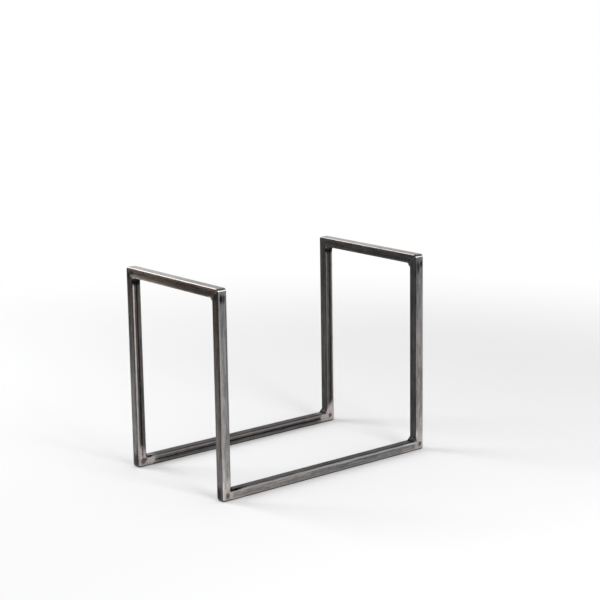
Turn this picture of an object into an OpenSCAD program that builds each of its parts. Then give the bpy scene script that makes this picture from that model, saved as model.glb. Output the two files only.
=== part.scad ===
// Record storage stand: an open frame of welded square steel tube.
// Two base rails lie on the floor. At each end of them stand two uprights, joined by a top rail.
// X runs across the stand, Y runs from the front to the back, and z = 0 is the floor.

/* [Frame] */
// Width over the outside of the tubes, along X
frame_width = 150; // [80:1:300]
// Depth over the outside of the tubes, along Y
frame_depth = 254; // [80:1:500]
// Height from the floor to the top of the top rails
frame_height = 202; // [80:1:400]

/* [Tube] */
// Outside width of the square tube
tube_size = 10; // [8:0.5:20]
// Thickness of the tube's wall
tube_wall = 1.2; // [0.8:0.1:2]
// Outside radius of the tube's long edges
edge_radius = 1.5; // [1:0.1:2.5]

/* [Welds] */
// Gap between two mitred ends, which the weld fills
root_gap = 0.8; // [0.4:0.1:1.6]
// How far the weld stands into the tube's bore
root_depth = 0.4; // [0.1:0.1:0.8]
// Radius that each outer corner is ground to
ground_radius = 3; // [2:0.1:4]
// Leg of the fillet bead in each inner corner
bead_leg = 2.6; // [1.5:0.1:4]
// How far the fillet bead is fused into the faces of the tubes
fusion_depth = 0.3; // [0.1:0.05:0.6]

/* [Hidden] */
$fn = 48;

steel = "#6a6a68";
weld_metal = "#8f8d89";

side_x = (frame_width - tube_size) / 2;  // centre line of a base rail and its uprights
front_y = -(frame_depth - tube_size) / 2;  // centre line of the front frame
bore_size = tube_size - 2 * tube_wall;
least_bore_radius = 0.2;
bore_radius = max(edge_radius - tube_wall, least_bore_radius);
mitre_setback = root_gap / sqrt(2);  // from the mitre line to a tube's end, along the tube
toe_angle = 25;  // angle at which the fillet bead meets the tubes
// The bead is as wide as a tube is flat once its face is cut back by the fusion depth
bead_width = tube_size - 2 * edge_radius + 2 * sqrt(fusion_depth * (2 * edge_radius - fusion_depth));
margin = 1;  // how far a cutting body runs past what it cuts

// Square with four rounded corners, centred
module rounded_square(size, radius) {
    flat = size - 2 * radius;
    square([size, flat], center = true);
    square([flat, size], center = true);
    for (x = [-1, 1], y = [-1, 1])
        translate([x, y] * flat / 2) circle(radius);
}

// A corner's own frame: the origin is the sharp outer corner, before grinding. One tube runs up
// +Z with its outer face on x = 0, the other runs along +X with its outer face on z = 0, and both
// are centred on y = 0. Swapping X and Z turns one tube into the other.
module other_tube() {
    mirror([0, 0, 1]) rotate([0, 90, 0]) children();
}

// The tube along +Z, from z = low to z = high, filled with the given outline
module corner_bar(low, high) {
    translate([tube_size / 2, 0, low])
        linear_extrude(high - low) children();
}

// The ground outer corner: the tube's section turned about an axis along Y
module ground_corner() {
    translate([ground_radius, 0, ground_radius])
        rotate([90, 0, 0]) rotate(180)
            rotate_extrude(angle = 90)
                intersection() {
                    translate([ground_radius - tube_size / 2, 0]) rounded_square(tube_size, edge_radius);
                    translate([0, -tube_size / 2]) square([ground_radius, tube_size]);
                }
}

// All that lies below the mitre plane raised by the given height, which a tube's end loses
module below_mitre(height) {
    reach = 2 * tube_size;
    rotate([90, 0, 0])
        linear_extrude(tube_size + 2 * margin, center = true)
            polygon([[-reach, height - reach], [reach, height - reach], [reach, height + reach]]);
}

// Section of the fillet bead, in the inner corner at [0, 0]: slightly hollow, and fused into the
// faces of both tubes
module bead_section() {
    centre = bead_leg / (1 - tan(toe_angle));
    difference() {
        polygon([
            [-fusion_depth, -fusion_depth], [bead_leg, -fusion_depth],
            [bead_leg, 0], [0, bead_leg], [-fusion_depth, bead_leg]
        ]);
        translate([centre, centre]) circle(norm([centre, centre - bead_leg]));
    }
}

module bead() {
    translate([tube_size, 0, tube_size])
        rotate([90, 0, 0])
            linear_extrude(bead_width, center = true) bead_section();
}

// What the fillet bead takes the place of in the inner face of the tube along +Z
module bead_seat() {
    width = tube_size + 2 * margin;
    translate([tube_size - fusion_depth, -width / 2, -margin])
        cube([fusion_depth + margin, width, tube_size + bead_leg + margin]);
}

// The tube along +Z where it runs through the weld, past the ground corner
module weld_bar() {
    corner_bar(ground_radius, tube_size + mitre_setback + margin)
        rounded_square(tube_size, edge_radius);
}

module weld_bore() {
    corner_bar(-margin, tube_size + mitre_setback + 2 * margin)
        rounded_square(bore_size - 2 * root_depth, bore_radius);
}

// Weld around one mitred corner, ground flush outside, with its fillet bead left in the inner corner
module corner_weld() {
    color(weld_metal) {
        difference() {
            union() {
                weld_bar();
                other_tube() weld_bar();
                ground_corner();
            }
            below_mitre(-mitre_setback);
            other_tube() below_mitre(-mitre_setback);
            weld_bore();
            other_tube() weld_bore();
        }
        bead();
    }
}

// Places its children in the corner frame at both ends of a tube that stands on z = 0, centred on
// the Z axis. low_turn and high_turn are the angles that the two ends' inner sides face.
module at_ends(length, low_turn, high_turn) {
    rotate(low_turn) translate([-tube_size / 2, 0, 0]) children();
    translate([0, 0, length]) mirror([0, 0, 1])
        rotate(high_turn) translate([-tube_size / 2, 0, 0]) children();
}

// Square tube with its two ends mitred and their outer corners ground round
module mitred_tube(length, low_turn, high_turn) {
    color(steel)
        difference() {
            union() {
                translate([0, 0, ground_radius])
                    linear_extrude(length - 2 * ground_radius) rounded_square(tube_size, edge_radius);
                at_ends(length, low_turn, high_turn) ground_corner();
            }
            at_ends(length, low_turn, high_turn) {
                below_mitre(mitre_setback);
                bead_seat();
            }
            translate([0, 0, -margin])
                linear_extrude(length + 2 * margin) rounded_square(bore_size, bore_radius);
        }
}

// The stand is the same at the left and the right and at the front and the back, so each piece is
// drawn for the front left. right and back say whether it is reflected to the other side.
module place(right, back) {
    mirror([right ? 1 : 0, 0, 0]) mirror([0, back ? 1 : 0, 0]) children();
}

module base_rail(right) {
    place(right, false)
        translate([-side_x, -frame_depth / 2, tube_size / 2]) rotate([-90, 0, 0])
            mitred_tube(frame_depth, -90, -90);
}

module upright(right, back) {
    place(right, back)
        translate([-side_x, front_y, 0]) mitred_tube(frame_height, 90, 0);
}

module top_rail(back) {
    place(false, back)
        translate([-frame_width / 2, front_y, frame_height - tube_size / 2]) rotate([0, 90, 0])
            mitred_tube(frame_width, 0, 0);
}

// Joins an upright to its base rail
module foot_weld(right, back) {
    place(right, back)
        translate([-side_x, -frame_depth / 2, 0]) rotate(90) corner_weld();
}

// Joins an upright to its top rail
module top_weld(right, back) {
    place(right, back)
        translate([-frame_width / 2, front_y, frame_height]) mirror([0, 0, 1]) corner_weld();
}

base_rail(false);  // left_base_rail
base_rail(true);  // right_base_rail
upright(false, false);  // front_left_upright
upright(true, false);  // front_right_upright
upright(false, true);  // back_left_upright
upright(true, true);  // back_right_upright
top_rail(false);  // front_top_rail
top_rail(true);  // back_top_rail
foot_weld(false, false);  // front_left_foot_weld
foot_weld(true, false);  // front_right_foot_weld
foot_weld(false, true);  // back_left_foot_weld
foot_weld(true, true);  // back_right_foot_weld
top_weld(false, false);  // front_left_top_weld
top_weld(true, false);  // front_right_top_weld
top_weld(false, true);  // back_left_top_weld
top_weld(true, true);  // back_right_top_weld
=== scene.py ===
"""Looks for a record storage stand: a frame of raw square steel tube, welded and ground by hand."""
from math import pi, radians, sin, sqrt

import bpy
from mathutils import Euler, Matrix, Vector


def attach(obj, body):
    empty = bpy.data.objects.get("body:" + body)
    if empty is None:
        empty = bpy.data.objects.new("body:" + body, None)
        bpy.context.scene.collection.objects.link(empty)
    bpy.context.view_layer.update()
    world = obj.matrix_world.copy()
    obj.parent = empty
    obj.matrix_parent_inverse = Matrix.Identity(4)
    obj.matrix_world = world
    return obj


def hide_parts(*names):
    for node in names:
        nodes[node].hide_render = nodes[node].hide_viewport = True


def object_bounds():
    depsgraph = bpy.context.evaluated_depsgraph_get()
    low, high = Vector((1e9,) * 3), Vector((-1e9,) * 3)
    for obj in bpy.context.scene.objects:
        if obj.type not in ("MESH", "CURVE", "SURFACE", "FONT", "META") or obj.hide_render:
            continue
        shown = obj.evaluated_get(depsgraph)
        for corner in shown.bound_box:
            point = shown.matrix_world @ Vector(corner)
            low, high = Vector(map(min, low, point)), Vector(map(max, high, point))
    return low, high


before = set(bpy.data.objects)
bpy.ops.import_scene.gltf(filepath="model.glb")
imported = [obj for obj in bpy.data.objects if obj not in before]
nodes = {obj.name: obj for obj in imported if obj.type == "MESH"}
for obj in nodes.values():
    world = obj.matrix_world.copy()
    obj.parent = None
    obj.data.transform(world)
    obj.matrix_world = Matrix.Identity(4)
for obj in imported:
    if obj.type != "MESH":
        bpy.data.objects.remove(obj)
cad_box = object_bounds()

MM = 0.001  # metres

# Half the stand's width and depth, and its height, in millimetres
CORNER_X, CORNER_Y, HEIGHT = (round(reach / MM, 3) for reach in cad_box[1])

# The tubes' size, rounded edges and centre lines, in millimetres
TUBE = 10
HALF = TUBE / 2
EDGE_RADIUS = 1.5
SIDE_X = CORNER_X - HALF
END_Y = CORNER_Y - HALF
BASE_Z = HALF
TOP_Z = HEIGHT - HALF

# Between these distances from a tube's centre line its flat side begins, in millimetres
FLAT_FROM = 4.2
FLAT_TO = 4.7

# The weld bead in each inner corner, in millimetres. It is made too long, and then ground off level
# with the tubes' sides. Its legs lie a little way in the tubes, and its root runs deeper.
BEAD_LENGTH = 12.6
GROUND_AT = HALF - 0.03
BEAD_LEG = 3.7
BEAD_SUNK = 0.3
ROOT_SUNK = 0.9
# The face takes this share of the legs. A profile of 0.25 is flat, and less than that is hollow.
BEAD_FACE = 0.97
BEAD_PROFILE = 0.13
BEAD_FACETS = 8
BEAD_RINGS = 31
RIPPLES = 8
# The legs are let down over the tubes' rounded edges: one step more under each of these heights
LEG_STEPS = (2.0, 1.2, 0.5)
# The middle of the puddle runs ahead: within each distance of it, by so much more
PUDDLE = ((2.4, 0.14), (1.7, 0.14), (1.0, 0.16), (0.5, 0.1))
# The small beads, their size beside the others, and how much deeper they lie
SMALL_BEADS = ("front_right_top",)
SMALL_SIZE = 0.75
SMALL_SUNK = 0.15

# A weld's flush ring is cut off this far short of the inner corner, in millimetres
RING_CUT = 0.12
# Points of a CAD mesh, and of a weld, that are nearer than this are merged, in metres
RING_MERGE = 1e-6
WELD_MERGE = 5e-6
# Edges of a weld that turn by more than this stay sharp, in degrees
SHARP_TURN = 40

# Where the photograph was taken from, in metres and degrees, and the lens, in millimetres
CAMERA_AT = (1.25924, -0.99055, 0.50411)
CAMERA_AZIMUTH = 51.01
CAMERA_PITCH = 12.07
CAMERA_ROLL = -0.86
LENS = 99.607
SENSOR_WIDTH = 36

# What the lamps point at, in metres
LIT = (0, -0.05, 0.1)
# The way to the studio's dark side, which the steel mirrors, along X and Y
DARK_SIDE = (-0.13, -0.99)
# How brightly the world lights the floor
WORLD_LEVEL = 0.585
# The floor's width, and how far out it starts to turn plain white and is white, in metres
FLOOR_SIZE = 12
FLOOR_LIT = 0.4
FLOOR_WHITE = 1.0


class Nodes:
    """Builds the shader nodes of one material or world. The functions further down call it b."""

    def __init__(self, owner):
        owner.use_nodes = True
        self.tree = owner.node_tree

    def node(self, kind, inputs=(), **settings):
        made = self.tree.nodes.new(kind)
        for name, value in settings.items():
            setattr(made, name, value)
        for key, value in dict(inputs).items():
            self.feed(made.inputs[key], value)
        return made

    def feed(self, socket, value):
        if isinstance(value, bpy.types.NodeSocket):
            self.tree.links.new(value, socket)
        elif socket.type == "RGBA":
            socket.default_value = (*value, 1)
        else:
            socket.default_value = value

    def math(self, operation, a, b=0.0):
        return self.node("ShaderNodeMath", {0: a, 1: b}, operation=operation).outputs[0]

    def times(self, first, *others):
        for other in others:
            first = self.math("MULTIPLY", first, other)
        return first

    def plus(self, first, *others):
        for other in others:
            first = self.math("ADD", first, other)
        return first

    def less(self, a, b):
        return self.math("SUBTRACT", a, b)

    def size(self, a):
        return self.math("ABSOLUTE", a)

    def most(self, first, *others):
        for other in others:
            first = self.math("MAXIMUM", first, other)
        return first

    def cover(self, under, over, share):
        """The value under, with the value over laid on it by share."""
        return self.plus(self.times(under, self.less(1, share)), self.times(over, share))

    def step(self, value, low, high, start=0.0, end=1.0):
        """Goes smoothly from start to end as the value goes from low to high."""
        reach = {"Value": value, "From Min": low, "From Max": high, "To Min": start, "To Max": end}
        return self.node("ShaderNodeMapRange", reach, interpolation_type="SMOOTHSTEP").outputs[0]

    def strip(self, value, centre, half_width, soft=0.3):
        """1 within half_width of the centre, and 0 outside it."""
        return self.step(self.size(self.less(value, centre)), half_width + soft, half_width - soft)

    def blend(self, share, a, b):
        """From colour a to colour b, by share."""
        made = self.node("ShaderNodeMix", data_type="RGBA")
        self.feed(made.inputs[0], share)
        self.feed(made.inputs[6], a)
        self.feed(made.inputs[7], b)
        return made.outputs[2]

    def shade(self, colour, level):
        """The colour, made lighter or darker by level."""
        grey = self.node("ShaderNodeCombineXYZ", {0: level, 1: level, 2: level}).outputs[0]
        return self.vector_math("MULTIPLY", {0: colour, 1: grey})

    def vector_math(self, operation, inputs):
        return self.node("ShaderNodeVectorMath", inputs, operation=operation).outputs[0]

    def scaled(self, place, scale, shift=(0, 0, 0)):
        mapping = {"Vector": place, "Scale": scale, "Location": shift}
        return self.node("ShaderNodeMapping", mapping).outputs[0]

    def turned(self, place, turn):
        """The place, turned about X, Y and Z by so many degrees."""
        turning = {"Vector": place, "Rotation": [radians(angle) for angle in turn]}
        return self.node("ShaderNodeVectorRotate", turning, rotation_type="EULER_XYZ").outputs[0]

    def apart(self, place):
        """The X, Y and Z of a place."""
        return self.node("ShaderNodeSeparateXYZ", {0: place}).outputs

    def noise(self, place, scale=1.0, detail=2.0, roughness=0.5):
        """About 0.5, mostly from 0.3 to 0.7."""
        pattern = {"Vector": place, "Scale": scale, "Detail": detail, "Roughness": roughness}
        return self.node("ShaderNodeTexNoise", pattern).outputs[0]

    def wander(self, place, scale, reach):
        """The place, pushed about by up to half of reach."""
        cloud = self.node("ShaderNodeTexNoise", {"Vector": place, "Scale": scale, "Detail": 3.0}).outputs[1]
        push = self.vector_math("SUBTRACT", {0: cloud, 1: (0.5, 0.5, 0.5)})
        push = self.vector_math("SCALE", {0: push, 3: reach})
        return self.vector_math("ADD", {0: place, 1: push})

    def spot(self, place, centre, radii, soft):
        """1 inside an egg shape, and 0 outside it."""
        near = self.vector_math("SUBTRACT", {0: place, 1: centre})
        near = self.vector_math("DIVIDE", {0: near, 1: radii})
        far = self.node("ShaderNodeVectorMath", {0: near}, operation="LENGTH").outputs[1]
        return self.step(far, 1 + soft, 1 - soft)


# Marks that the torch left black, dark or brown, with painted shade, black or dark, in the inner corners,
# under the top rails and along a weld's fillet; small pits, and patches that the grinder left light:
# the centre and radii of each, in millimetres
# black marks: heat tint, and painted shade in the inner corners and under the top rails
BLACK_HEAT_AND_SHADE = [
    ((-65.7, -114, 10.1), (2.3, 3.6, 1.7)), ((74.3, -112.6, 10.3), (2.2, 6.4, 1.6)),
    ((70, -115, 10.2), (6, 2, 1.2)), ((-65, -122, 188.6), (1.5, 8, 4.2)), ((65, -120.4, 189), (1.5, 5, 3.6)),
    ((-65, 122, 189), (1.5, 7, 3.8)), ((65, 122, 189.4), (1.5, 7, 3.2)), ((75, -124, 192.2), (2, 1.3, 4.4)),
    ((75, -116.7, 10.9), (2.5, 2, 2.2)), ((75, 123.8, 192.2), (2, 1.2, 3.8)),
    ((-75, -122.5, 191), (2, 2.2, 4)), ((-70, 114.4, 10), (6, 2.2, 1.5)), ((69, 113.8, 10), (6, 2.6, 1.5)),
    ((-68.5, 127, 7), (2.2, 2, 4.2)),
]
# dark marks: mostly heat tint, with painted shade along the front left foot's fillet
DARK_HEAT_AND_SHADE = [
    ((-66, -127, 197.4), (4.2, 2, 2.2)), ((-70.4, -127, 193.2), (2.4, 2, 3.4)),
    ((-73.6, -127, 199), (1.6, 3, 4)), ((70, -127, 194), (2.2, 2, 3.4)), ((75, -121.1, 192.3), (2, 2, 3.8)),
    ((-66.6, -127, 17), (0.7, 2, 9)), ((-68.3, -127, 7.4), (3, 2, 6.4)), ((68.5, -127, 7.2), (3.4, 2, 6)),
    ((74, -109, 10), (2.6, 10, 1.6)), ((68.5, -112, 10), (1.5, 1.6, 1)), ((-75, -122, 190), (2, 3.5, 6)),
    ((-66, 127, 193), (6, 2, 4)), ((68, 127, 195), (4, 2, 4)), ((-75, 121, 191), (2, 4, 5)),
    ((75, 120, 190), (2, 2, 6)), ((71, 127, 6), (3, 2, 5)), ((-65, -117.4, 12.4), (1.5, 1, 3)),
]
BROWN_HEAT = [
    ((-65, -121.3, 6.4), (1.5, 2.9, 3.4)), ((-65, -121.9, 15), (1.5, 0.9, 5.4)),
    ((75, -121.2, 5.6), (1.5, 2.3, 3)), ((-75, -121.5, 6), (1.5, 2.4, 2.6)),
    ((65, -121, 6), (1.5, 2.2, 2.8)), ((-65, 121, 7), (1.5, 2.2, 2.6)), ((75, 122, 6.4), (1.5, 2.3, 2.3)),
    ((-75, 121.5, 6.4), (1.5, 2.5, 2.2)), ((65, 121, 6.5), (1.5, 2.1, 2.9)),
]
PITS = [
    ((-65, -118, 7.4), (1.5, 1.7, 1.5)), ((-58.5, -127, 193.6), (0.9, 1.5, 0.6)),
    ((65, 119, 7), (1.5, 0.8, 0.7)), ((-75, 119.5, 8), (1.5, 0.7, 0.8)),
]
LIGHT_GRIND = [
    ((-59.6, -127, 193.5), (7.4, 2, 2.2)), ((62, -127, 192.4), (3, 2, 1)),
    ((-61, 127, 193.5), (4.5, 2, 2.2)), ((62, 127, 193), (4, 2, 2.4)),
]


class Steel(Nodes):
    """The nodes of one steel finish, with the places on the frame, in millimetres, that it goes by."""

    # 1 for each of X, Y and Z that runs across the part's tube
    ACROSS = {"upright": (1, 1, 0), "base_rail": (1, 0, 1), "top_rail": (0, 1, 1)}

    def __init__(self, material, part):
        super().__init__(material)
        self.part = part
        self.mm = self.scaled(self.node("ShaderNodeTexCoord").outputs["Object"], (1 / MM, 1 / MM, 1 / MM))
        self.loose = self.wander(self.mm, 0.35, 2.4)
        self.x, self.y, self.z = self.apart(self.mm)
        loose_y, self.loose_z = self.apart(self.loose)[1:]
        # across a tube, out from its centre line, and along a base rail, in from its end
        self.side = self.less(self.size(self.x), SIDE_X)
        self.end = self.less(self.size(self.y), END_Y)
        self.low = self.less(self.z, BASE_Z)
        self.top = self.less(self.z, TOP_Z)
        self.from_end = self.less(CORNER_Y, self.size(loose_y))
        # the flat sides: outer and inner, front or back, and top
        self.outside = self.step(self.side, FLAT_FROM, FLAT_TO)
        self.inside = self.step(self.side, -FLAT_FROM, -FLAT_TO)
        self.front = self.step(self.end, FLAT_FROM, FLAT_TO)
        self.above = self.step(self.top, FLAT_FROM, FLAT_TO)
        # long bands and streaks, blotches, drawn lines and grinder scratches
        long_bands = self.scaled(self.loose, self.grain(0.42, 0.008), (3.1, 7.7, 1.3))
        self.bands = self.noise(long_bands, 1, 3, 0.55)
        self.streaks = self.noise(self.scaled(self.mm, self.grain(1.5, 0.035), (2, 9, 4)), 1, 3, 0.6)
        self.blotch = self.noise(self.scaled(self.mm, self.grain(0.38, 0.07), (11, 4, 2)), 1, 4, 0.6)
        self.speckle = self.noise(self.mm, 1.6, 4, 0.65)
        self.drawn = self.noise(self.scaled(self.mm, self.grain(7, 0.06)), 1, 3, 0.6)
        self.cloud = self.noise(self.mm, 0.05, 2)
        self.scratch = self.noise(self.scaled(self.turned(self.mm, (38, 0, 0)), (4, 5, 0.16)), 1, 2, 0.6)
        self.rescratch = self.noise(self.scaled(self.turned(self.mm, (-57, 0, 0)), (5, 6, 0.2)), 1, 2, 0.6)
        # marks of the torch, with painted shade among them, and pits
        self.black = self.marks(BLACK_HEAT_AND_SHADE, 0.45, self.loose)
        self.dark = self.marks(DARK_HEAT_AND_SHADE, 0.7, self.loose)
        brown = self.marks(BROWN_HEAT, 0.4, self.wander(self.mm, 0.8, 2.4))
        self.brown = self.times(brown, self.step(self.speckle, 0.25, 0.6, 0.7, 1))
        self.pit = self.marks(PITS, 0.6, self.loose)

    def grain(self, across, along):
        """Scales of a pattern that runs along the part's own tube."""
        return tuple(across if way else along for way in self.ACROSS.get(self.part, (1, 1, 1)))

    def marks(self, places, soft, place):
        """1 inside the marks of a list, and 0 outside them."""
        return self.most(*(self.spot(place, centre, radii, soft) for centre, radii in places))


def upright_finish_and_shade(b):
    """How light an upright is: its level, where the inner faces are kept dark by mill scale and painted
    shade, its worn strips and their level.
    """
    front = b.times(b.step(b.x, -20, 20, 0.145, 0.12), b.step(b.z, 75, 130, 1, 0.72),
                    b.step(b.z, 20, 7, 1, 0.58))
    dark_line = b.times(b.strip(b.side, 3, 0.7), b.step(b.x, -1, 1), b.step(b.z, 30, 55))
    front = b.times(front, b.step(dark_line, 0, 1, 1, 0.5))
    outer = b.times(b.step(b.z, 60, 18, 0.21, 0.37), b.step(b.z, 95, 185, 1, 0.7),
                    b.step(b.end, -3, -2.2, 0.74, 1))
    # the inner faces are dark: mill scale that the belt missed, and painted shade
    level = b.plus(b.times(b.front, front), b.times(b.outside, outer), b.times(b.inside, 0.07))
    worn = b.times(b.step(b.size(b.side), 4.45, 4.85), b.step(b.size(b.end), 2.6, 3.4))
    worn = b.times(worn, b.step(b.times(b.outside, b.step(b.end, 1, -1)), 0, 1, 1, 0.2))
    worn_outside = b.times(b.outside, b.step(b.z, 60, 20, 0.15, 0.3), b.step(b.z, 150, 190, 1, 0.35))
    worn_level = b.plus(0.14, worn_outside, b.times(b.inside, b.step(b.end, -3, 3, 0, 0.31)))
    return b.most(level, 0.065), worn, worn_level


def base_rail_finish_and_shade(b):
    """The same for a base rail."""
    top = b.step(b.from_end, 13, 27, b.step(b.x, -1, 1, 0.3, 0.12), 0.095)
    # a dark line along the top face: a painted dark reflection
    dark_line = b.times(b.step(b.times(b.side, b.math("SIGN", b.x)), 1.9, 2.9), b.step(b.low, 3.8, 4.6))
    top = b.times(top, b.step(dark_line, 0, 1, 1, 0.6))
    # the inner faces are dark: mill scale, and painted shade
    level = b.plus(b.times(b.outside, 0.215), b.times(b.inside, 0.08))
    worn = b.times(b.step(b.size(b.side), 4.3, 4.7), b.strip(b.size(b.low), 3.3, 0.6, 0.4))
    worn_outside = b.times(b.outside, b.step(b.from_end, 34, 22, 0.18, 0.4))
    return b.most(level, top), worn, b.plus(0.18, worn_outside, b.times(b.inside, 0.05))


def top_rail_finish_and_shade(b):
    """The same for a top rail."""
    front = b.step(b.x, -60, 35, 0.25, 0.115)
    front = b.times(front, b.step(b.top, -0.6, -2.6, 1, b.step(b.x, -62, 35, 1.95, 1.15)))
    front = b.times(front, b.step(b.top, 2, 3, 1, b.step(b.x, -60, 10, 1.15, 2)))
    # the top face grows darker toward the right: a painted dark reflection
    level = b.plus(b.times(b.front, front), b.times(b.above, b.step(b.x, -15, 30, 0.32, 0.2)))
    worn = b.times(b.step(b.size(b.end), 3.9, 4.5), b.step(b.top, 3.9, 4.5), b.step(b.x, 72, 71),
                   b.step(b.x, -73, -70))
    return b.most(level, 0.065), worn, 0.43


def weld_ring_finish_and_shade(b):
    """The same for the flush ring of a weld."""
    # dark on the inner faces: mill scale, and painted shade
    level = b.most(b.times(b.front, 0.14), b.times(b.most(b.outside, b.above), 0.26), 0.075)
    return level, 0.0, 0.3


FINISH_AND_SHADE_LEVELS = {"upright": upright_finish_and_shade, "base_rail": base_rail_finish_and_shade, "top_rail": top_rail_finish_and_shade}


def finish_and_shade(b, seam):
    """The level of the rolled and belt-sanded sides, with painted shade on their inner faces, worn edges and
    seam, and the share that is worn.
    """
    level, worn, worn_level = FINISH_AND_SHADE_LEVELS.get(b.part, weld_ring_finish_and_shade)(b)
    patchy = b.noise(b.scaled(b.mm, b.grain(0.5, 0.12), (5, 5, 5)), 1, 4, 0.6)
    worn = b.times(worn, b.step(patchy, 0.3, 0.52, 0.6, 1))
    level = b.times(level, b.step(b.bands, 0.25, 0.75, 0.68, 1.34), b.step(b.blotch, 0.28, 0.72, 0.7, 1.3),
                    b.step(b.streaks, 0.3, 0.7, 0.75, 1.25))
    level = b.cover(level, worn_level, worn)
    return b.times(level, b.step(seam, 0, 1, 1, 0.2)), worn


def rolled_tint(b):
    """Bluish and brownish bands, brown on the fronts and higher up."""
    tint = b.blend(b.step(b.bands, 0.38, 0.62), (0.96, 1.0, 1.05), (1.1, 0.985, 0.91))
    tint = b.blend(b.step(b.cloud, 0.42, 0.6, 0, 0.5), tint, (1.06, 1.0, 0.95))
    if b.part == "top_rail":
        return b.blend(b.times(b.front, 0.85), tint, (1.24, 0.97, 0.84))
    if b.part == "upright":
        brown = b.times(b.front, b.step(b.x, -30, 30, 0.25, 0.8), b.step(b.z, 20, 190))
        tint = b.blend(brown, tint, (1.2, 0.97, 0.84))
        blue = b.times(b.outside, b.step(b.z, 90, 190, 0.2, 0.8))
        return b.blend(blue, tint, (0.96, 1.0, 1.06))
    return tint


def tube_seam(b):
    """The dark seam along the tube, turned to the inside of the frame."""
    if b.part not in ("upright", "base_rail"):
        return 0.0
    across = b.end if b.part == "upright" else b.low
    across = b.plus(across, b.times(b.less(b.bands, 0.5), 1.6))
    return b.times(b.inside, b.strip(across, 0.2, 0.85, 0.55))


def bead_share(b):
    """1 on the bead of a weld, and 0 on its flush ring."""
    if b.part == "foot_weld":
        return b.times(b.step(b.end, 0.1 - HALF, -0.1 - HALF), b.step(b.low, HALF - 0.1, HALF + 0.1))
    return b.times(b.step(b.side, 0.1 - HALF, -0.1 - HALF), b.step(b.top, 0.1 - HALF, -0.1 - HALF))


def ground_foot(b):
    """Where a grinder went over the end of a base rail and its welds, and how light it left them."""
    reach = b.plus(b.from_end, b.times(b.size(b.less(b.loose_z, 6)), 0.35), b.times(b.outside, 7),
                   b.step(b.loose_z, 8.2, 9.4, 0, 5))
    ground = b.times(b.most(b.outside, b.inside), b.step(reach, 20.2, 18.4))
    return b.most(ground, b.marks(LIGHT_GRIND, 0.35, b.loose)), 0.42


def ground_top(b):
    """The same for an upright, a top rail or its welds, with the bright outer edge of the top corner."""
    ground = b.marks(LIGHT_GRIND, 0.35, b.loose)
    light = 0.48
    if b.part == "upright":
        reach = b.plus(b.loose_z, b.times(b.end, b.step(b.x, -1, 1, -0.8, 0.3)))
        ground = b.most(b.times(b.most(b.outside, b.inside), b.step(reach, 24, 15)), ground)
        light = b.step(b.times(b.outside, b.end), 2.4, 3.6, 0.43, 0.58)
    if b.part == "top_weld":
        bead_end = b.step(b.size(b.end), GROUND_AT - 0.15, GROUND_AT - 0.05)
        ground = b.most(ground, b.times(bead_share(b), bead_end))
    bright_edge = b.times(b.step(b.x, 73.0, 73.8), b.strip(b.z, 199.9, 0.5, 0.25))
    return b.most(ground, bright_edge), b.most(light, bright_edge)


def ground_back(b):
    """The share that was ground, and its level with the grinder's scratches in it."""
    ground, light = ground_foot(b) if b.part in ("base_rail", "foot_weld") else ground_top(b)
    light = b.times(light, b.step(b.scratch, 0.3, 0.7, 0.8, 1.2), b.step(b.rescratch, 0.3, 0.7, 0.93, 1.07),
                    b.step(b.blotch, 0.3, 0.7, 0.82, 1.15))
    return ground, light


def heated_and_shaded(b, level, tint):
    """The level and tint with the marks of the torch, the painted shade among the black and dark marks, and
    the pits on them.
    """
    level = b.cover(level, 0.016, b.black)
    level = b.times(level, b.step(b.dark, 0, 1, 1, 0.3), b.step(b.brown, 0, 1, 1, 0.27),
                    b.step(b.pit, 0, 1, 1, 0.3), b.step(b.speckle, 0.3, 0.7, 0.86, 1.15))
    tint = b.blend(b.times(b.dark, 0.7), tint, (1.08, 0.97, 0.93))
    rust = b.blend(b.step(b.x, -1, 1), (1.16, 0.96, 0.93), (1.2, 0.99, 0.8))
    return level, b.blend(b.times(b.brown, 0.9), tint, rust)


def oxidised_and_shaded(b, level, tint, ground):
    """The level and tint of a weld: its bead, where it isn't ground, is made near black, with dark oxide and
    painted shade of the inner corner.
    """
    bead = b.times(bead_share(b), b.less(1, ground))
    level = b.cover(level, b.step(b.blotch, 0.3, 0.7, 0.018, 0.075), bead)
    oxide = b.blend(b.step(b.cloud, 0.4, 0.6), (1.18, 0.99, 0.82), (0.94, 0.98, 1.1))
    return level, b.blend(bead, tint, oxide)


def dark_crown(b):
    """1 on the corner's top, just over its bright outer edge, where the steel is made darker."""
    return b.times(b.step(b.x, 70.8, 71.8), b.step(b.z, 200.4, 200.8))


def roughness(b, worn, ground):
    """Smoothest where the steel is linished or worn, and roughest in the black marks."""
    smooth = b.outside if b.part == "base_rail" else b.most(b.outside, b.front, b.above)
    return b.plus(b.step(smooth, 0, 1, 0.42, 0.32), b.times(b.less(b.drawn, 0.5), 0.16),
                  b.times(b.less(b.speckle, 0.5), 0.14), b.times(b.dark, 0.08), b.times(b.brown, 0.12),
                  b.times(worn, -0.07), b.times(ground, 0.03), b.times(b.black, 0.45))


def relief(b, ground, seam):
    """Drawn lines, mill scale, scratches and pits, in millimetres of height."""
    return b.plus(b.times(b.drawn, b.step(ground, 0, 1, 0.006, 0.001)), b.times(b.speckle, 0.008),
                  b.times(b.scratch, ground, 0.012), b.times(b.rescratch, ground, 0.006),
                  b.times(ground, -0.03), b.times(seam, -0.02), b.times(b.brown, -0.02),
                  b.times(b.pit, -0.1), b.times(b.blotch, 0.03))


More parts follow.
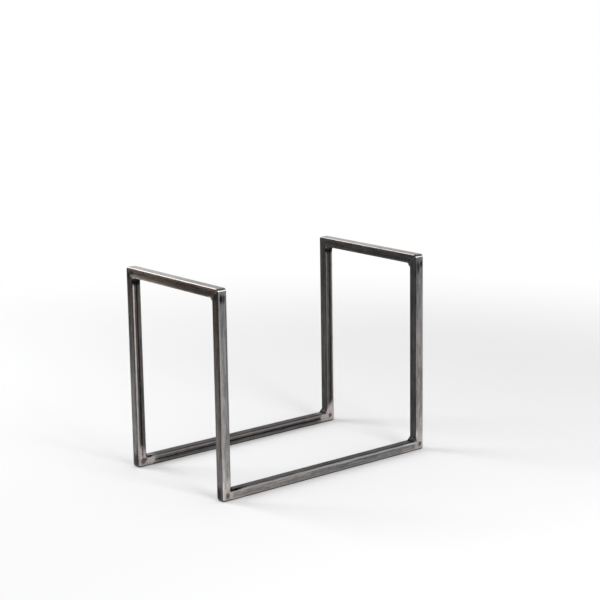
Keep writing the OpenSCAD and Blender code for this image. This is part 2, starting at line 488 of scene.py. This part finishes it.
def raw_steel(name, part):
    """Raw square tube: dark mill scale, sides sanded by hand on a belt, worn edges, ground and heat-tinted
    corners, painted shade on the inner faces, in the inner corners and along the bottom edges, and painted
    dark reflections on some faces.
    """
    material = bpy.data.materials.new(name)
    b = Steel(material, part)
    seam = tube_seam(b)
    level, worn = finish_and_shade(b, seam)
    ground, light = ground_back(b)
    level = b.cover(level, light, ground)
    bright = b.blend(b.inside, (1.07, 1.0, 0.96), (1.1, 0.985, 0.955))
    tint = b.blend(b.most(ground, worn), rolled_tint(b), bright)
    level, tint = heated_and_shaded(b, level, tint)
    if part.endswith("weld"):
        level, tint = oxidised_and_shaded(b, level, tint, ground)
    # painted shade along the bottom edges, where they mirror the floor's shadow, and darker on the corner's
    # crown
    level = b.times(level, b.step(b.z, 1.2, 2.3, 0.4, 1), b.step(dark_crown(b), 0, 1, 1, 0.75))

    shader = b.tree.nodes["Principled BSDF"]
    b.feed(shader.inputs["Base Color"], b.shade(tint, level))
    b.feed(shader.inputs["Roughness"], roughness(b, worn, ground))
    shader.inputs["Metallic"].default_value = 1
    if part == "base_rail":
        shader.inputs["Specular Tint"].default_value = (0.6, 0.6, 0.6, 1)
    bump = b.node("ShaderNodeBump", {"Height": relief(b, ground, seam), "Distance": MM, "Strength": 1.0})
    b.feed(shader.inputs["Normal"], bump.outputs[0])
    return material


def make_camera():
    """The camera that the photograph was taken with."""
    bpy.ops.object.camera_add(location=CAMERA_AT)
    camera = bpy.context.object
    turn = Euler((radians(90 - CAMERA_PITCH), 0, radians(CAMERA_AZIMUTH))).to_matrix()
    turn = turn @ Matrix.Rotation(radians(CAMERA_ROLL), 3, "Z")
    camera.rotation_euler = turn.to_euler()
    camera.data.lens = LENS
    camera.data.sensor_width = SENSOR_WIDTH
    camera.data.clip_start = 0.05
    bpy.context.scene.camera = camera


def softbox(name, at, width, height, power, on_floor):
    """A lamp that lights the floor and doesn't show in the steel, or the other way round."""
    bpy.ops.object.light_add(type="AREA", location=at)
    lamp = bpy.context.object
    lamp.name = name
    lamp.data.shape = "RECTANGLE"
    lamp.data.size = width
    lamp.data.size_y = height
    lamp.data.energy = power
    lamp.visible_glossy = not on_floor
    lamp.visible_diffuse = on_floor
    lamp.rotation_euler = (Vector(LIT) - lamp.location).to_track_quat("-Z", "Y").to_euler()


def toward_dark(b, x, y):
    """How far a direction or a place lies toward the studio's dark side."""
    return b.plus(b.times(x, DARK_SIDE[0]), b.times(y, DARK_SIDE[1]))


def make_world():
    """White all round, but mirrored as dark on the side in front of the stand."""
    world = bpy.data.worlds.new("studio")
    bpy.context.scene.world = world
    b = Nodes(world)
    x, y, z = b.apart(b.node("ShaderNodeTexCoord").outputs["Generated"])
    ray = b.node("ShaderNodeLightPath").outputs
    unlit = b.times(b.step(toward_dark(b, x, y), 0.32, 0.66), b.step(z, 0.7, 0.3))
    mirrored = b.step(unlit, 0, 1, 1, 0.2)
    seen = b.most(ray["Is Camera Ray"], ray["Is Transmission Ray"])
    glossy = ray["Is Glossy Ray"]
    lit = b.times(b.less(1, b.most(seen, glossy)), WORLD_LEVEL)
    background = b.tree.nodes["Background"]
    b.feed(background.inputs["Color"], (1, 1, 1))
    b.feed(background.inputs["Strength"], b.plus(seen, b.times(glossy, mirrored), lit))


def make_floor():
    """White floor: it keeps the shadows near the stand, and is plain white further off."""
    bpy.ops.mesh.primitive_plane_add(size=FLOOR_SIZE)
    floor = bpy.context.object
    floor.name = "floor"
    material = bpy.data.materials.new("white_floor")
    b = Nodes(material)
    shader = b.tree.nodes["Principled BSDF"]
    shader.inputs["Base Color"].default_value = (0.98, 0.98, 0.985, 1)
    shader.inputs["Roughness"].default_value = 0.9
    shader.inputs["Specular IOR Level"].default_value = 0
    x, y, z = b.apart(b.node("ShaderNodeTexCoord").outputs["Object"])
    ray = b.node("ShaderNodeLightPath").outputs
    away = b.math("SQRT", b.plus(b.times(x, x), b.times(y, y)))
    far = b.times(b.step(away, FLOOR_LIT, FLOOR_WHITE), b.most(ray["Is Camera Ray"], ray["Is Glossy Ray"]))
    unlit = b.times(b.step(toward_dark(b, x, y), 0.33, 0.66), ray["Is Glossy Ray"])
    white = b.node("ShaderNodeEmission", {"Color": (1, 1, 1), "Strength": 1.0})
    grey = b.node("ShaderNodeEmission", {"Color": (1, 1, 1), "Strength": 0.17})
    lit = b.node("ShaderNodeMixShader", {0: far, 1: shader.outputs[0], 2: white.outputs[0]})
    full = b.node("ShaderNodeMixShader", {0: unlit, 1: lit.outputs[0], 2: grey.outputs[0]})
    b.feed(b.tree.nodes["Material Output"].inputs["Surface"], full.outputs[0])
    floor.data.materials.append(material)


def clear_selection():
    """Leaves edit mode, with nothing selected."""
    if bpy.context.mode != "OBJECT":
        bpy.ops.object.mode_set(mode="OBJECT")
    bpy.ops.object.select_all(action="DESELECT")


def select_where(piece, wanted):
    """In edit mode, selects the vertices at the places that are wanted and nothing else."""
    bpy.ops.mesh.select_all(action="DESELECT")
    bpy.ops.object.mode_set(mode="OBJECT")
    for vertex in piece.data.vertices:
        vertex.select = bool(wanted(vertex.co))
    bpy.ops.object.mode_set(mode="EDIT")


def hollow_bar():
    """A bar along x in the corner at y = z = TUBE, with a hollow face. It is left in edit mode."""
    clear_selection()
    thick = BEAD_LEG + BEAD_SUNK
    middle = TUBE + BEAD_LEG - thick / 2
    bpy.ops.mesh.primitive_cube_add(size=1, location=(0, middle, middle))
    bar = bpy.context.object
    bar.name = "bead"
    bar.scale = (BEAD_LENGTH, thick, thick)
    bpy.ops.object.transform_apply(location=True, rotation=True, scale=True)
    bpy.ops.object.mode_set(mode="EDIT")
    bpy.ops.mesh.select_mode(type="VERT")
    crest = TUBE + BEAD_LEG - 0.01
    select_where(bar, lambda co: co.y > crest and co.z > crest)
    bpy.ops.mesh.bevel(offset=BEAD_LEG * BEAD_FACE, segments=BEAD_FACETS, profile=BEAD_PROFILE,
                       affect="EDGES")
    return bar


def cut_into_rings(bar):
    """Cuts the bar across, so that its length has points to shape."""
    bpy.ops.mesh.select_all(action="DESELECT")
    bpy.ops.mesh.select_mode(type="EDGE")
    bpy.ops.object.mode_set(mode="OBJECT")
    for edge in bar.data.edges:
        first, second = (bar.data.vertices[i].co for i in edge.vertices)
        edge.select = abs(first.x - second.x) > 1
    bpy.ops.object.mode_set(mode="EDIT")
    bpy.ops.mesh.subdivide(number_cuts=BEAD_RINGS)
    bpy.ops.mesh.select_mode(type="VERT")


def let_legs_down(bead, at, gap):
    """Lets one ring's legs down in steps, so that they follow the tubes' rounded edges."""
    past = min(abs(at), GROUND_AT) - (HALF - EDGE_RADIUS)
    if past <= 0:
        return
    fall = (EDGE_RADIUS - sqrt(EDGE_RADIUS ** 2 - past ** 2)) / len(LEG_STEPS)
    for fallen, reach in enumerate(LEG_STEPS):
        leg = TUBE + reach - fallen * fall
        select_where(bead, lambda co: abs(co.x - at) < gap / 4 and co.z < leg)
        bpy.ops.transform.translate(value=(0, 0, -fall))
        select_where(bead, lambda co: abs(co.x - at) < gap / 4 and co.y < leg)
        bpy.ops.transform.translate(value=(0, -fall, 0))


def raise_ripples(bead):
    """Makes each ripple swell, and drop sharply to the next, over legs that follow the tubes."""
    gap = BEAD_LENGTH / (BEAD_RINGS + 1)
    for ring in range(BEAD_RINGS + 2):
        at = ring * gap - BEAD_LENGTH / 2
        # how far along its ripple the ring is, and its size: the ripples are a little uneven
        phase = ring / (BEAD_RINGS + 1) * RIPPLES + 0.12 * sin(ring * 1.7)
        swell = 0.92 + 0.15 * (phase % 1) ** 0.8 + 0.04 * sin(ring * 0.53 + 1)
        select_where(bead, lambda co: abs(co.x - at) < gap / 4 and co.y + co.z > 2 * TUBE + 0.4)
        bpy.ops.transform.resize(value=(1, swell, swell), center_override=(at, TUBE, TUBE))
        let_legs_down(bead, at, gap)


def smooth_and_grind(bead):
    """Smooths the bead, and grinds its two ends off."""
    bpy.ops.object.mode_set(mode="OBJECT")
    smooth = bead.modifiers.new("smooth", "SUBSURF")
    smooth.levels = 1
    smooth.render_levels = 1
    bpy.ops.object.modifier_apply(modifier=smooth.name)
    bpy.ops.object.mode_set(mode="EDIT")
    for way in (-1, 1):
        bpy.ops.mesh.select_all(action="SELECT")
        bpy.ops.mesh.bisect(plane_co=(way * GROUND_AT, 0, 0), plane_no=(way, 0, 0),
                            use_fill=True, clear_outer=True)
    bpy.ops.object.mode_set(mode="OBJECT")


def model_bead():
    """A rippled fillet of weld along x, in the corner at y = z = TUBE. It is modelled in millimetres."""
    bead = hollow_bar()
    cut_into_rings(bead)
    raise_ripples(bead)
    # its root runs into the corner of the tubes
    select_where(bead, lambda co: co.y < TUBE and co.z < TUBE)
    bpy.ops.transform.translate(value=(0, -ROOT_SUNK, -ROOT_SUNK))
    # the middle of the puddle runs ahead of its sides
    for reach, push in PUDDLE:
        select_where(bead, lambda co: abs(co.y - co.z) < reach and co.y + co.z > 2 * TUBE + 1)
        bpy.ops.transform.translate(value=(push, 0, 0))
    smooth_and_grind(bead)
    return bead


def ring_of(node, name, corner, inward):
    """A copy of the weld's flush ring, cut off just under the bead."""
    clear_selection()
    ring = bpy.data.objects.new(name, node.data.copy())
    bpy.context.collection.objects.link(ring)
    bpy.context.view_layer.objects.active = ring
    ring.select_set(True)
    bpy.ops.object.mode_set(mode="EDIT")
    bpy.ops.mesh.select_all(action="SELECT")
    bpy.ops.mesh.remove_doubles(threshold=RING_MERGE)
    cut = (Vector(corner) - Vector(inward).normalized() * RING_CUT) * MM
    bpy.ops.mesh.bisect(plane_co=cut, plane_no=inward, use_fill=True, clear_outer=True)
    bpy.ops.object.mode_set(mode="OBJECT")
    return ring


def small_fit():
    """Makes the common bead a small one, sunk so that its ends still reach the rounded edges."""
    root = TUBE - SMALL_SUNK
    smaller = Matrix.Diagonal((1, SMALL_SIZE, SMALL_SIZE, 1))
    return Matrix.Translation((0, root, root)) @ smaller @ Matrix.Translation((0, -TUBE, -TUBE))


def bead_at(bead, at, turn, fit):
    """A copy of the bead in its place on the stand, in metres."""
    clear_selection()
    copy = bpy.data.objects.new("copy", bead.data.copy())
    bpy.context.collection.objects.link(copy)
    copy.matrix_world = Matrix.Scale(MM, 4) @ Matrix.Translation(at) @ turn.to_4x4() @ fit
    bpy.context.view_layer.objects.active = copy
    copy.select_set(True)
    bpy.ops.object.transform_apply(location=True, rotation=True, scale=True)
    return copy


def join(ring, bead_copy):
    """Makes the ring and the bead one closed mesh of triangles, without the slivers that this leaves."""
    bpy.context.view_layer.objects.active = ring
    union = ring.modifiers.new("bead", "BOOLEAN")
    union.operation = "UNION"
    union.solver = "EXACT"
    union.object = bead_copy
    ring.select_set(True)
    bpy.ops.object.modifier_apply(modifier=union.name)
    bpy.data.objects.remove(bead_copy)
    bpy.ops.object.mode_set(mode="EDIT")
    bpy.ops.mesh.select_all(action="SELECT")
    bpy.ops.mesh.remove_doubles(threshold=WELD_MERGE)
    bpy.ops.mesh.dissolve_degenerate(threshold=WELD_MERGE)
    bpy.ops.mesh.quads_convert_to_tris()
    bpy.ops.mesh.dissolve_degenerate(threshold=WELD_MERGE)
    bpy.ops.object.mode_set(mode="OBJECT")
    bpy.ops.object.shade_smooth_by_angle(angle=radians(SHARP_TURN))


def place_weld(bead, name, turn, at, inward):
    """The bead and ring of one corner, as one piece that stands for the corner's weld."""
    node_name = f"{name}_weld"
    corner = Vector(at) + turn @ Vector((0, TUBE, TUBE))
    ring = ring_of(nodes[node_name], f"{name}_bead", corner, inward)
    fit = small_fit() if name in SMALL_BEADS else Matrix()
    join(ring, bead_at(bead, at, turn, fit))
    ring.data.materials.clear()
    ring.data.materials.append(FINISHES["foot_weld" if "foot" in name else "top_weld"])
    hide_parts(node_name)
    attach(ring, "root")


make_camera()
FINISHES = {part: raw_steel(f"{part}_steel", part)
            for part in ("upright", "base_rail", "top_rail", "foot_weld", "top_weld")}
for name, node in nodes.items():
    part = next(part for part in FINISHES if name.endswith(part))
    node.data.materials.clear()
    node.data.materials.append(FINISHES[part])

bead = model_bead()
for end, toward in (("front", 1), ("back", -1)):
    for side, right in (("left", -1), ("right", 1)):
        # a foot's bead runs across the stand, in the corner that opens up and toward the other end
        turn = Matrix.Rotation(0 if toward > 0 else pi, 3, "Z")
        foot = (right * SIDE_X, -toward * CORNER_Y, 0)
        place_weld(bead, f"{end}_{side}_foot", turn, foot, (0, toward, 1))
        # a top bead runs from front to back, in the corner that opens down and toward the other side
        turn = Matrix(((0, -right, 0), (-right, 0, 0), (0, 0, -1)))
        top = (right * CORNER_X, -toward * END_Y, HEIGHT)
        place_weld(bead, f"{end}_{side}_top", turn, top, (-right, 0, -1))
bpy.data.objects.remove(bead)

make_world()
make_floor()
softbox("left_softbox", (-1.05, -0.30, 0.86), 0.8, 0.8, 4.2, on_floor=False)
softbox("right_softbox", (1.3, -0.18, 0.6), 0.8, 0.8, 3.2, on_floor=False)
softbox("left_strip", (-0.95, -0.6, 0.75), 0.55, 1.1, 7.1, on_floor=True)
softbox("right_strip", (1.3, -0.06, 0.62), 0.55, 1.1, 10.4, on_floor=True)

bpy.context.scene.view_settings.view_transform = "Standard"
